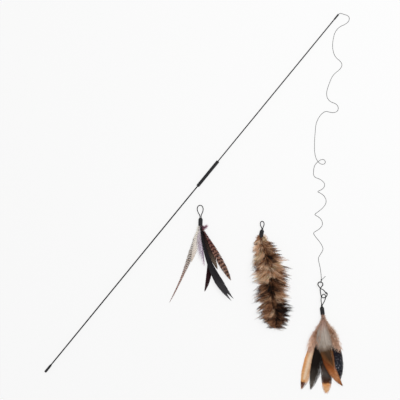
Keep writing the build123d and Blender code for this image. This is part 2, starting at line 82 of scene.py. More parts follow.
def mottledMaterial(name, look):  # noise with a grain in mm colours the surface, and may dull or dent it
    mat, shader = newMaterial(name, look["roughness"], look["ior"], look["specular"])
    coords = addNode(mat, "ShaderNodeTexCoord")
    turned = addNode(mat, "ShaderNodeMapping", {"Rotation": (0, 0, -math.radians(look.get("turn", 0.0)))},
                     {"Vector": coords.outputs["Object"]})
    scaled = addNode(mat, "ShaderNodeMapping", {"Scale": [1 / (size * mm) for size in look["grain"]]},
                     {"Vector": turned.outputs[0]})
    noise = addNode(mat, "ShaderNodeTexNoise", {"Scale": 1.0, "Detail": look.get("detail", 3.0),
                                                "Roughness": look.get("harshness", 0.5)},
                    {"Vector": scaled.outputs[0]})
    ramp = addNode(mat, "ShaderNodeValToRGB", None, {"Fac": noise.outputs["Fac"]})
    setStops(ramp, look["stops"])
    mat.node_tree.links.new(ramp.outputs[0], shader.inputs["Base Color"])
    if "gloss" in look:
        gloss = addNode(mat, "ShaderNodeMapRange", {"To Min": look["gloss"][0], "To Max": look["gloss"][1]},
                        {"Value": noise.outputs["Fac"]})
        mat.node_tree.links.new(gloss.outputs[0], shader.inputs["Roughness"])
    if "peel" in look:  # the dents have a finer noise of their own
        noise = addNode(mat, "ShaderNodeTexNoise", {"Scale": 1 / (look["peel"] * mm), "Detail": 2.0},
                        {"Vector": coords.outputs["Object"]})
    if "dent" in look:  # strength, and depth in mm
        bump = addNode(mat, "ShaderNodeBump", {"Strength": look["dent"][0], "Distance": look["dent"][1] * mm},
                       {"Height": noise.outputs["Fac"]})
        mat.node_tree.links.new(bump.outputs[0], shader.inputs["Normal"])
    return mat


def dress(node, mat):  # a carried-over CAD node gets the finished material
    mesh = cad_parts[node].data
    mesh.materials.clear()
    mesh.materials.append(mat)


def heading(angle):
    return Vector((math.cos(math.radians(angle)), math.sin(math.radians(angle)), 0))


def spoke(across, over, angle):
    return across * math.cos(angle) + over * math.sin(angle)


def readShare(table, place):
    for (low, lowValue), (high, highValue) in zip(table, table[1:]):
        if place <= high:
            return lowValue + (highValue - lowValue) * (max(place, low) - low) / (high - low)
    return table[-1][1]


def newStore():
    return {"verts": [], "faces": [], "maps": [], "slots": [], "tones": []}


def addFace(store, corners, spots, slot=0):
    store["faces"].append(tuple(corners))
    store["maps"].append(tuple(spots))
    store["slots"].append(slot)


def addSkin(store, start, sides, spansU, spanV, slot=0, closed=False, capsU=(0.5, 0.5)):
    rings = len(spansU) + (0 if closed else 1)  # the rings of points are already stored
    for i, (u0, u1) in enumerate(spansU):
        low, high = start + i * sides, start + (i + 1) % rings * sides
        for side in range(sides):
            nextSide = (side + 1) % sides
            v0, v1 = [spanV[0] + (spanV[1] - spanV[0]) * k / sides for k in (side, side + 1)]
            addFace(store, (low + side, low + nextSide, high + nextSide, high + side),
                    ((u0, v0), (u0, v1), (u1, v1), (u1, v0)), slot)
    if not closed:
        for first, order, capU in ((start, -1, capsU[0]), (start + (rings - 1) * sides, 1, capsU[1])):
            addFace(store, [first + side for side in range(sides)][::order], [(capU, 0.5)] * sides, slot)


def finishMesh(name, store, mats, body, slot, nodes=(), smooth=False):
    mesh = bpy.data.meshes.new(name)
    mesh.from_pydata([v * mm for v in store["verts"]], [], store["faces"])
    layer = mesh.uv_layers.new(name="OFBake")
    layer.data.foreach_set("uv", [c for face in store["maps"] for spot in face for c in spot])
    if store["tones"]:
        tones = mesh.attributes.new("lockTone", "FLOAT", "POINT")
        tones.data.foreach_set("value", store["tones"])
    for mat in mats:
        mesh.materials.append(mat)
    mesh.polygons.foreach_set("material_index", store["slots"])
    mesh.polygons.foreach_set("use_smooth", [smooth] * len(mesh.polygons))
    mesh.update()
    piece = bpy.data.objects.new(name, mesh)
    bpy.context.scene.collection.objects.link(piece)
    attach(piece, body)
    if nodes:
        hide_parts(*nodes)
    return piece


# Camera, floor and light: a flat lay seen straight down
cameraLook = {"centre": (0.012, 0.006), "viewWidth": 0.8, "lens": 100.0, "sensor": 36.0, "focusHeight": 0.004,
              "clipEnd": 20.0}
floorLook = {"size": 8.0, "colour": "#F6F6F6", "whiteShare": 0.8}
lightLook = {"world": 0.5, "lampPower": 17.0, "lampSize": 0.9, "lampPlace": (0.85, 0.6, 1.7)}

bpy.ops.object.camera_add(location=(*cameraLook["centre"], cameraLook["focusHeight"]
                                    + cameraLook["viewWidth"] * cameraLook["lens"] / cameraLook["sensor"]))
camera = bpy.context.object
camera.data.lens = cameraLook["lens"]
camera.data.sensor_width = cameraLook["sensor"]
camera.data.clip_end = cameraLook["clipEnd"]
bpy.context.scene.camera = camera
bpy.context.scene.view_settings.view_transform = "Standard"


def seenShare(owner):  # 1 for what the camera sees straight or in a reflection, 0 for what lights the object
    rays = addNode(owner, "ShaderNodeLightPath")
    seen = addNode(owner, "ShaderNodeMath", operation="MAXIMUM",
                   links={0: rays.outputs["Is Camera Ray"], 1: rays.outputs["Is Glossy Ray"]})
    share = addNode(owner, "ShaderNodeMath", operation="MAXIMUM",
                    links={0: seen.outputs[0], 1: rays.outputs["Is Transmission Ray"]})
    return share.outputs[0]


bpy.ops.mesh.primitive_plane_add(size=floorLook["size"], location=(0, 0, 0))
floor = bpy.context.object
floor.name = "floor"
paperMat, paperShader = newMaterial("seamless_paper", 0.9)  # matte white paper, soft shadow only
paperShader.inputs["Base Color"].default_value = linearColour(floorLook["colour"])
paperShare = addNode(paperMat, "ShaderNodeMath", {1: floorLook["whiteShare"]}, {0: seenShare(paperMat)},
                     operation="MULTIPLY")
paperWhite = addNode(paperMat, "ShaderNodeEmission")
paperMix = addNode(paperMat, "ShaderNodeMixShader", None,
                   {0: paperShare.outputs[0], 1: paperShader.outputs[0], 2: paperWhite.outputs[0]})
paperMat.node_tree.links.new(paperMix.outputs[0], paperMat.node_tree.nodes["Material Output"].inputs[0])
floor.data.materials.append(paperMat)

world = bpy.data.worlds.new("studio")
bpy.context.scene.world = world
world.use_nodes = True
worldLevel = addNode(world, "ShaderNodeMapRange", {"To Min": lightLook["world"], "To Max": 1.0},
                     {"Value": seenShare(world)})
world.node_tree.nodes["Background"].inputs["Color"].default_value = (1, 1, 1, 1)
world.node_tree.links.new(worldLevel.outputs[0], world.node_tree.nodes["Background"].inputs["Strength"])

bpy.ops.object.light_add(type="AREA", location=lightLook["lampPlace"])
lamp = bpy.context.object
lamp.data.energy = lightLook["lampPower"]
lamp.data.size = lightLook["lampSize"]
lamp.rotation_euler = (-Vector(lightLook["lampPlace"])).to_track_quat("-Z", "Y").to_euler()
print("camera, floor and light set")

# The hard pieces keep their CAD shape and get their finishes
hardLooks = {
    "pultruded_glass_fibre": {  # long faint fibres along the rod break up the gloss of its satin skin
        "nodes": ("lower_rod", "upper_rod"), "roughness": 0.36, "ior": 1.52, "specular": 0.03,
        "grain": (30.0, 0.5, 0.5), "turn": 50.65, "stops": [(0.35, "#09090B"), (0.75, "#18181B")],
        "dent": (0.12, 0.05)},
    "dipped_vinyl": {  # soft black with scuffs, and a faint orange peel that scatters the gloss
        "nodes": ("butt_cap", "connector_sleeve", "tip_cap"), "roughness": 0.48, "ior": 1.53, "specular": 0.2,
        "grain": (9.0, 9.0, 9.0), "detail": 5.0, "harshness": 0.65, "gloss": (0.38, 0.58),
        "stops": [(0.4, "#151517"), (0.8, "#26262A")], "peel": 0.9, "dent": (0.15, 0.08)},
    "black_lacquered_wire": {  # spring wire under a thin black lacquer, worn dull
        "nodes": ("snap_frame", "snap_gate"), "roughness": 0.34, "ior": 1.52, "specular": 0.03,
        "grain": (0.25, 0.25, 0.25), "detail": 4.0, "gloss": (0.22, 0.4),
        "stops": [(0.35, "#0A090B"), (0.7, "#171518")]},
    "shrunk_polyolefin": {  # black sleeve with shrink wrinkles, whose tight skin shows the lamp as a stripe
        "nodes": ("plume_crimp", "streamer_crimp", "tail_crimp"), "roughness": 0.2, "ior": 1.51,
        "specular": 0.28, "grain": (0.8, 8.8, 0.8), "stops": [(0.4, "#0D0C0E"), (0.8, "#1C1B1E")],
        "dent": (0.12, 0.15)},
    "hot_melt_glue": {  # waxy beige blob
        "nodes": ("plume_glue", "streamer_glue", "tail_glue"), "roughness": 0.4, "ior": 1.48, "specular": 0.5,
        "grain": (2.5, 2.5, 2.5), "stops": [(0.3, "#C8B595"), (0.75, "#E3D6BD")]},
}
for name, look in hardLooks.items():
    hardMat = mottledMaterial(name, look)
    for node in look["nodes"]:
        dress(node, hardMat)
print("hard pieces dressed")


# Cord: three plies laid round the line of a spline
def splineLine(name, points, steps):  # the line of a smooth spline through the given points
    curve = bpy.data.curves.new(name, "CURVE")
    curve.dimensions = "3D"
    curve.resolution_u = steps
    spline = curve.splines.new("NURBS")
    spline.points.add(len(points) - 1)
    for place, point in zip(spline.points, points):
        place.co = (*point, 1)
    spline.order_u = 3
    spline.use_endpoint_u = True
    holder = bpy.data.objects.new(name, curve)
    bpy.context.scene.collection.objects.link(holder)
    bpy.context.view_layer.update()
    mesh = bpy.data.meshes.new_from_object(holder.evaluated_get(bpy.context.evaluated_depsgraph_get()))
    line = [v.co.copy() for v in mesh.vertices]
    bpy.data.objects.remove(holder)
    bpy.data.meshes.remove(mesh)
    return line


def addPlies(store, line, diameter, lay, sides=5, plies=3, closed=False):
    plyRadius = diameter / 2 / (1 + 1 / math.sin(math.pi / plies))
    ringRadius = diameter / 2 - plyRadius
    total = sum((b - a).length for a, b in zip(line, line[1:]))
    run = 0.0
    rings = []
    for i, spot in enumerate(line):
        before = line[i - 1] if i or closed else spot
        after = line[(i + 1) % len(line)] if i + 1 < len(line) or closed else spot
        way = (after - before).normalized()
        run += (spot - line[i - 1]).length if i else 0
        across = way.cross(upward)
        across = across.normalized() if across.length > 0.1 else way.orthogonal().normalized()
        rings.append((spot, across, across.cross(way).normalized(), run))
    spansU = [(ring[3] / total, (ring[3] + 1) / total) for ring in (rings if closed else rings[:-1])]
    for ply in range(plies):
        start = len(store["verts"])
        for spot, across, over, run in rings:
            turn = 2 * math.pi * (run / lay + ply / plies)
            centre = spot + spoke(across, over, turn) * ringRadius
            store["verts"] += [centre + spoke(across, over, turn + 2 * math.pi * side / sides) * plyRadius
                               for side in range(sides)]
        addSkin(store, start, sides, spansU, (0, 1), closed=closed)


def layCord(name, runs, mat, body, slot, node, **shape):  # runs are (line, diameter, lay)
    store = newStore()
    for line, diameter, lay in runs:
        addPlies(store, line, diameter, lay, **shape)
    return finishMesh(name, store, [mat], body, slot, [node], smooth=True)


yarnBase = {"ior": 1.53, "specular": 0.03, "dent": (0.2, 0.05)}  # fine yarn scatters most of its gloss
cordLook = {"diameter": 1.1, "lay": 4.4, "steps": 16, "length": 0.725}
cordPoints = [  # a point without a height lies on the table
    (288.19, 376.4, 3.25), (290.66, 379.42, 3.25), (295.0, 379.5, 1.9), (301.0, 377.5, 0.7), (307.0, 376.0),
    (311.0, 372.0), (311.2, 367.5), (308.5, 362.0), (301.5, 357.0), (293.5, 354.0), (287.0, 348.5),
    (282.0, 341.0), (279.5, 332.0), (277.5, 319.5), (277.7, 308.0), (281.0, 296.0), (286.5, 289.0),
    (292.0, 285.0), (296.5, 279.0), (296.0, 273.0), (291.0, 266.5), (282.5, 260.0), (276.5, 253.0),
    (272.5, 243.5), (268.0, 231.5), (265.5, 222.0), (265.8, 214.0), (268.3, 208.0), (273.0, 203.0),
    (279.5, 200.5), (286.0, 197.5), (289.5, 191.0), (288.0, 184.8), (283.5, 181.5), (277.0, 180.8),
    (270.5, 182.2), (265.0, 183.8), (260.0, 182.0), (254.0, 177.0), (248.0, 168.0), (244.0, 157.5),
    (242.8, 143.0), (241.4, 124.0), (241.2, 106.0), (242.8, 94.5), (245.6, 86.5), (251.0, 79.6),
    (257.0, 77.0), (262.0, 78.5, 0.6), (263.6, 82.8, 1.2), (260.2, 87.2, 2.4), (254.4, 87.0, 3.7),
    (250.2, 84.4, 4.4), (245.4, 80.4, 4.4), (241.9, 76.0, 3.0), (240.2, 70.5, 1.2), (239.2, 62.5),
    (239.4, 55.5), (243.0, 50.8), (249.8, 48.8), (256.5, 45.0), (261.0, 40.0), (262.0, 35.8), (260.4, 31.0),
    (256.4, 27.3), (251.4, 24.8), (248.4, 23.6), (248.2, 21.9), (250.6, 20.9), (254.2, 19.2), (259.5, 15.5),
    (263.8, 9.0), (265.0, 2.8), (263.2, -3.0), (258.0, -10.0), (250.4, -16.2), (245.2, -20.0),
    (242.2, -22.4), (242.2, -24.0), (244.8, -25.3), (249.2, -27.9), (254.0, -32.0), (257.0, -37.5),
    (257.5, -43.0), (255.2, -48.0), (250.0, -53.0), (244.5, -56.2), (240.6, -58.4), (239.4, -61.0),
    (241.0, -64.4), (244.7, -69.3), (249.8, -75.5), (255.3, -83.0), (258.3, -89.2), (258.3, -94.0),
    (256.0, -98.6), (252.2, -104.2), (249.6, -108.8), (249.2, -113.2), (250.2, -119.0), (252.1, -126.6),
    (253.4, -134.0, 0.7), (254.2, -141.5, 1.6), (254.907, -148.389, 2.6), (254.907, -152.389, 2.6),
]
cordRoute = [(*point, cordLook["diameter"] / 2)[:3] for point in cordPoints]
cordMat = mottledMaterial("braided_polyester", dict(  # dull black yarn
    yarnBase, roughness=0.6, grain=(0.25, 0.25, 0.25), stops=[(0.3, "#09090B"), (0.75, "#1A1A1E")]))
cordLine = splineLine("cordLine", cordRoute, cordLook["steps"])
cord = layCord("wandCord", [(cordLine, cordLook["diameter"], cordLook["lay"])], cordMat, "upper_wand", "cord", "cord")
print("cord laid,", len(cordLine), "points")

# Knots: the cord's noose round the eye, its wraps, its tag end and the stopper knot in the tip cap
knotLook = {"eye": (252.6, -162.6), "eyeRadius": 4.9, "nooseAngle": 75.0, "nooseRadius": 1.8, "nooseSide": 1.075,
            "nooseHeight": 5.475, "nooseSteps": 64, "nooseLay": 2.8, "wraps": 2.4, "wrapRadius": 1.05,
            "wrapLength": 2.0, "wrapSteps": 96, "wrapLay": 2.4, "core": 1.4, "coreLength": 3.1, "coreSteps": 8,
            "coreLay": 3.0, "knotCentre": (254.907, -153.989, 2.6), "tagHeading": 40.0, "tagStart": 1.9,
            "tagLength": 9.0, "tagDrop": 2.05, "tagSteps": 24}
nooseOut = heading(knotLook["nooseAngle"])
nooseCentre = Vector((*knotLook["eye"], knotLook["nooseHeight"])) + nooseOut * knotLook["eyeRadius"]
nooseLine = []
for step in range(knotLook["nooseSteps"]):
    angle = 2 * math.pi * step / knotLook["nooseSteps"]
    lift = knotLook["nooseSide"] * (1 if math.sin(angle) > 0 else -1)
    nooseLine.append(nooseCentre + spoke(nooseOut, upward, angle) * knotLook["nooseRadius"] + upward * lift)
noose = layCord("eyeNoose", [(nooseLine, cordLook["diameter"], knotLook["nooseLay"])], cordMat, "upper_wand",
                "cord", "eye_noose", closed=True)

knotCentre = Vector(knotLook["knotCentre"])
wrapLine = []
for step in range(knotLook["wrapSteps"] + 1):
    share = step / knotLook["wrapSteps"]
    wrapLine.append(knotCentre + Vector((0, (share - 0.5) * knotLook["wrapLength"], 0))
                    + spoke(Vector((1, 0, 0)), upward, 2 * math.pi * knotLook["wraps"] * share)
                    * knotLook["wrapRadius"])
knotCore = [knotCentre + Vector((0, (step / knotLook["coreSteps"] - 0.5) * knotLook["coreLength"], 0))
            for step in range(knotLook["coreSteps"] + 1)]
wrapRuns = [(wrapLine, cordLook["diameter"], knotLook["wrapLay"]), (knotCore, knotLook["core"], knotLook["coreLay"])]
eyeKnot = layCord("eyeKnot", wrapRuns, cordMat, "upper_wand", "cord", "eye_knot")

tagWay = heading(knotLook["tagHeading"])
tagStart = knotCentre + tagWay * knotLook["tagStart"]
tagRoute = [tagStart + tagWay * (knotLook["tagLength"] * along) - upward * (knotLook["tagDrop"] * low)
            for along, low in ((0, 0), (0.5, 0.35), (1, 1))]
tagLine = splineLine("tagLine", tagRoute, knotLook["tagSteps"])
cordTag = layCord("cordTag", [(tagLine, cordLook["diameter"], cordLook["lay"])], cordMat, "upper_wand", "cord",
                  "cord_tag")
dress("cord_anchor_knot", cordMat)
[c * mm for c in cordRoute[0]]
print("knots tied")

# Lure heads: places shared by the loop and the feathers of each lure
lureLook = {
    "plume": {"top": (255.392, -207.381), "heading": -82.7, "loopHeading": 79.6, "loopLength": 25.5,
              "loopWidth": 11.4, "roll": 32.0, "count": 8, "neck": 7.0, "body": "plume_lure"},
    "streamer": {"top": (13.222, -29.602), "heading": -91.5, "loopHeading": 92.7, "loopLength": 25.0,
                 "loopWidth": 12.3, "roll": 0.0, "count": 7, "neck": 1.0, "body": "streamer_lure"},
    "tail": {"top": (136.587, -53.422), "heading": -103.0, "loopHeading": 90.9, "loopLength": 16.8,
             "loopWidth": 7.9, "roll": 0.0, "body": "tail_lure"},
}
crimpLook = {"height": 4.4, "length": 15.8, "wall": 0.7, "legHole": 4.0, "legRise": 1.0, "legSpacing": 2.1,
             "holeCircle": 2.4}
loopLook = {"diameter": 1.9, "lay": 4.0, "steps": 14,
            "shares": ((0.2, 0.2), (0.45, 0.78), (0.7, 1.0), (0.9, 0.8), (1.0, 0.3))}
loopMat = mottledMaterial("stiff_braided_nylon", dict(  # black yarn with a little more gloss than the cord
    yarnBase, roughness=0.5, grain=(0.3, 0.3, 0.3), stops=[(0.3, "#0E0E10"), (0.75, "#1F1E22")]))
for name, look in lureLook.items():
    top = Vector((*look["top"], crimpLook["height"]))
    back = heading(look["heading"] + 180)
    out = heading(look["loopHeading"]) * look["loopLength"]
    tilt = upward * math.sin(math.radians(look["roll"]))
    flat = math.cos(math.radians(look["roll"]))
    legSide = (heading(look["heading"] + 90) * flat - tilt) * (crimpLook["legSpacing"] / 2)
    loopSide = (heading(look["loopHeading"] - 90) * flat - tilt) * (look["loopWidth"] / 2)
    foot = top - back * (crimpLook["wall"] + crimpLook["legHole"])
    rise = top + back * crimpLook["legRise"]
    right = [top + out * along + loopSide * wide for along, wide in loopLook["shares"]]
    left = [top + out * along - loopSide * wide for along, wide in loopLook["shares"]]
    route = [foot + legSide, rise + legSide] + right + left[::-1] + [rise - legSide, foot - legSide]
    loopLine = splineLine(name + "LoopLine", route, loopLook["steps"])
    layCord(name + "Loop", [(loopLine, loopLook["diameter"], loopLook["lay"])], loopMat, look["body"], "loop_cord",
            name + "_loop", sides=6, plies=6)
print("loops bent")


# Feathers: a shaft with a row of closed three-sided barbs on each side
def addBarb(store, line, widths, flats, ridge, placesU, halfU, spanV):
    start = len(store["verts"])
    last = len(line) - 1
    way = (line[1] - line[0]).normalized()
    for spot, width, flat in zip(line[:-1], widths, flats):
        lift = flat.cross(way).normalized()
        if lift.z < 0:
            lift = -lift
        store["verts"] += [spot - flat * (width / 2), spot + flat * (width / 2), spot + lift * (width * ridge)]
    store["verts"].append(line[-1])
    tip = len(store["verts"]) - 1
    sideU = (-halfU, halfU, 0.0)
    for i in range(last):
        low = start + 3 * i
        u0, u1 = placesU[i], placesU[i + 1]
        v0, v1 = [spanV[0] + (spanV[1] - spanV[0]) * k / last for k in (i, i + 1)]
        for a, b in ((0, 1), (1, 2), (2, 0)):
            foot = ((u0 + sideU[a], v0), (u0 + sideU[b], v0))
            if i < last - 1:
                addFace(store, (low + a, low + b, low + 3 + b, low + 3 + a),
                        (*foot, (u1 + sideU[b], v1), (u1 + sideU[a], v1)))
            else:
                addFace(store, (low + a, low + b, tip), (*foot, (u1, v1)))
    addFace(store, (start + 2, start + 1, start), [(placesU[0] + sideU[k], spanV[0]) for k in (2, 1, 0)])


def addShaft(store, line, radii, sides=6):
    start = len(store["verts"])
    last = len(line) - 1
    for i, (spot, radius) in enumerate(zip(line, radii)):
        way = (line[min(i + 1, last)] - line[max(i - 1, 0)]).normalized()
        across = way.cross(upward).normalized()
        over = across.cross(way)
        store["verts"] += [spot + spoke(across, over, 2 * math.pi * side / sides) * radius
                           for side in range(sides)]
    spansU = [(i / last, (i + 1) / last) for i in range(last)]
    addSkin(store, start, sides, spansU, shaftLook["spanV"], slot=1, capsU=(0.0, 1.0))


outlineShares = {  # width at shares of the length
    "hackle": ((0.0, 0.2), (0.1, 0.72), (0.24, 1.0), (0.45, 0.96), (0.7, 0.72), (0.88, 0.4), (1.0, 0.05)),
    "broad": ((0.0, 0.1), (0.16, 0.4), (0.36, 0.8), (0.58, 1.0), (0.78, 0.9), (0.92, 0.5), (1.0, 0.06)),
    "sickle": ((0.0, 0.3), (0.2, 0.55), (0.4, 0.78), (0.6, 0.92), (0.75, 1.0), (0.88, 0.72), (1.0, 0.12)),
    "blunt": ((0.0, 0.1), (0.16, 0.42), (0.36, 0.8), (0.58, 1.0), (0.78, 1.0), (0.92, 0.72), (0.98, 0.4),
              (1.0, 0.12)),
    "lance": ((0.0, 0.2), (0.2, 0.42), (0.4, 0.64), (0.58, 0.92), (0.72, 1.08), (0.86, 0.84), (1.0, 0.12)),
    "whip": ((0.0, 0.3), (0.12, 0.86), (0.28, 1.0), (0.46, 0.74), (0.6, 0.42), (0.75, 0.28), (0.88, 0.2),
             (1.0, 0.05)),
    "tuft": ((0.0, 0.14), (0.2, 0.36), (0.42, 0.76), (0.65, 1.0), (0.85, 0.8), (1.0, 0.2)),
    "down": ((0.0, 0.16), (0.16, 0.62), (0.36, 0.96), (0.6, 1.0), (0.84, 0.66), (1.0, 0.12)),
}
layerLook = {"first": 0.745, "step": 1.35, "settle": 10.0}
shaftLook = {"steps": 30, "taper": 0.85, "quillIn": 3.5, "spanV": (0.48, 0.52)}
barbLook = {"bowAlong": 0.64, "bowAcross": 1.2, "rootSlope": 1.87, "slopeLoss": 1.27, "ridge": 0.2,
            "thinnest": 0.14, "lowest": 0.15, "hairWidth": 0.18, "hairRidge": 0.5, "hairLowest": 0.1,
            "jitter": 0.15, "wave": 6.28, "longest": 0.35, "fromV": 0.03, "hairV": 0.06, "hairAlong": 0.7,
            "softStops": (0, 0.2, 0.4, 0.6, 0.8, 0.93, 1), "neatStops": (0, 0.3, 0.6, 0.88, 1)}


def featherFrame(lure, look):  # places on the curved shaft, as in the CAD solid, or beside it
    place = lureLook[lure]
    order = look["order"]
    holeAngle = math.radians(-90 + 360 / place["count"] * ((order + 1) // 2) * (-1 if order % 2 else 1))
    way = heading(place["heading"])
    aside = Vector((-way.y, way.x, 0))
    quillEnd = Vector((*place["top"], crimpLook["height"])) + way * (crimpLook["length"] + place["neck"])
    quillEnd += spoke(aside, upward, holeAngle) * crimpLook["holeCircle"]
    level = layerLook["first"] + order * layerLook["step"]

    def at(distance, lateral=0.0):
        if distance < 0:
            return quillEnd + way * distance + aside * lateral
        halfTurn = look["bend"] * distance / look["length"] / 2
        chord = distance
        if halfTurn:
            chord = distance * math.sin(math.radians(halfTurn)) / math.radians(halfTurn)
        spot = quillEnd + heading(place["heading"] + look["fan"] + halfTurn) * chord
        settled = min(1.0, distance / layerLook["settle"])
        settled = settled * settled * (3 - 2 * settled)
        spot.z = quillEnd.z + (level - quillEnd.z) * settled
        return spot + heading(place["heading"] + look["fan"] + 2 * halfTurn + 90) * lateral

    return at


def halfWidth(look, distance):
    settle = layerLook["settle"]
    shares = outlineShares[look["outline"]]
    if distance < settle:
        first = shares[0][1] * look["width"] / 2
        return look["base"] + (max(first, look["base"]) - look["base"]) * max(0, distance) / settle
    return readShare(shares, (distance - settle) / (look["length"] - settle)) * look["width"] / 2


def neatBarb(look, share):  # where a barb leaves the shaft, how far along its tip lies, its reach aside, its lean
    reach = look["start"] + (look["length"] - look["start"]) * share
    wide = halfWidth(look, reach)
    lean = look["angle"] + (look["tipAngle"] - look["angle"]) * share
    root = reach - wide / math.tan(math.radians(lean))
    return min(max(look["start"] - 1, root), look["shaftTo"] * look["length"]), reach, wide, lean


def growFeather(piece, lure, look, vaneMat, shaftMat, node=None):
    rng = random.Random(look["seed"])
    at = featherFrame(lure, look)
    length, count, steps = look["length"], look["barbs"], shaftLook["steps"]
    store = newStore()
    line = [at(-lureLook[lure]["neck"] - shaftLook["quillIn"])]
    line += [at(length * look["shaftTo"] * i / steps) for i in range(steps + 1)]
    thins = [1.0] + [1 - shaftLook["taper"] * i / steps for i in range(steps + 1)]
    addShaft(store, line, [look["shaft"] / 2 * thin for thin in thins])
    for side in (-1, 1):
        clumps = sorted(rng.random() for _ in range(look["clumps"]))
        shifts = [rng.uniform(-1, 1) * look["split"] for _ in range(look["clumps"] + 1)]
        reaches = [1 + rng.uniform(-1, barbLook["longest"]) * look["ragged"] for _ in range(look["clumps"] + 1)]
        for i in range(count):
            share = (i + 0.5 + rng.uniform(-barbLook["jitter"], barbLook["jitter"])) / count
            soft = readShare(look["soft"], share)
            root, reach, wide, lean = neatBarb(look, share)
            wide *= look["sides"][max(0, side)]
            nextRoot, nextReach = neatBarb(look, share + 1 / count)[:2]
            stray = rng.uniform(-1, 1) * soft * look["stray"]
            clump = sum(place < share for place in clumps)
            trim = rng.uniform(0.93 - 0.35 * soft, 1.0 + 0.12 * soft) * reaches[clump]  # ragged edge
            tipAlong = min(length, root + (reach - root) * trim + stray
                           + shifts[clump] * (wide / (look["width"] / 2)))
            fork = look["fork"] * max(0, (reach / length - look["shaftTo"]) / (1 - look["shaftTo"]))
            wave = rng.uniform(0, barbLook["wave"])
            curl = soft * look["curl"]
            rise = rng.uniform(-1, 1) * soft * look["puff"]
            points, places, widths = [], [], []
            for s in barbLook["softStops"] if soft > 0.25 else barbLook["neatStops"]:
                along = root + (tipAlong - root) * (barbLook["bowAlong"] * s * (1 - s) + s * s)
                across = wide * trim * (barbLook["bowAcross"] * s * (1 - s) + s * s) + fork * s
                along += curl * math.sin(wave + 7 * s) * s  # soft barbs wander three ways
                across += curl * math.cos(wave * 1.7 + 6 * s) * s * 0.6
                spot = at(along, side * across)
                spot.z += look["camber"] * (1 - (across / (look["width"] / 2)) ** 2) + rise * s * s
                spot.z = max(barbLook["lowest"], spot.z + curl * 0.5 * math.sin(wave * 2.3 + 8 * s) * s)
                points.append(spot)
                places.append(min(1.0, max(0.0, along / length)))
                gap = (nextRoot - root) * (1 - s) + (nextReach - reach) * s
                slope = barbLook["rootSlope"] - barbLook["slopeLoss"] * s
                slope = math.atan(math.tan(math.radians(lean)) * slope)
                widths.append(max(barbLook["thinnest"], gap * math.sin(slope)) * look["cover"]
                              * (1 - 0.3 * soft * s))
            flats = []
            for p, q in zip(points, points[1:]):
                flat = (q - p).cross(upward).normalized()
                flat.z = look["shingle"] * side
                flats.append(flat.normalized())
            halfU = 0.2 / count
            spanV = (0.5 + side * barbLook["fromV"], 0.5 + side * 0.5)
            addBarb(store, points, widths, flats, barbLook["ridge"], places, halfU, spanV)
            for _ in range(int(look["fuzz"] * soft + rng.random()) if soft > 0.2 else 0):
                k = rng.randrange(2, len(points) - 1)
                base = points[k] + (points[k + 1] - points[k]) * rng.random()
                hairWay = Vector((rng.uniform(-1, 1), rng.uniform(-1, 1), rng.uniform(-0.6, 0.6)))
                hairWay += (points[k + 1] - points[k]).normalized() * barbLook["hairAlong"]
                hairTip = base + hairWay * look["hair"]
                hairTip.z = max(barbLook["hairLowest"], hairTip.z)
                flat = (hairTip - base).cross(upward).normalized()
                hairV = spanV[0] + (spanV[1] - spanV[0]) * k / len(points)
                addBarb(store, [base, hairTip], [barbLook["hairWidth"]], [flat], barbLook["hairRidge"],
                        [places[k]] * 2, halfU, (hairV, hairV + side * barbLook["hairV"]))
    return finishMesh(piece, store, [vaneMat, shaftMat], lureLook[lure]["body"], look["slot"],
                      [node] if node else ())


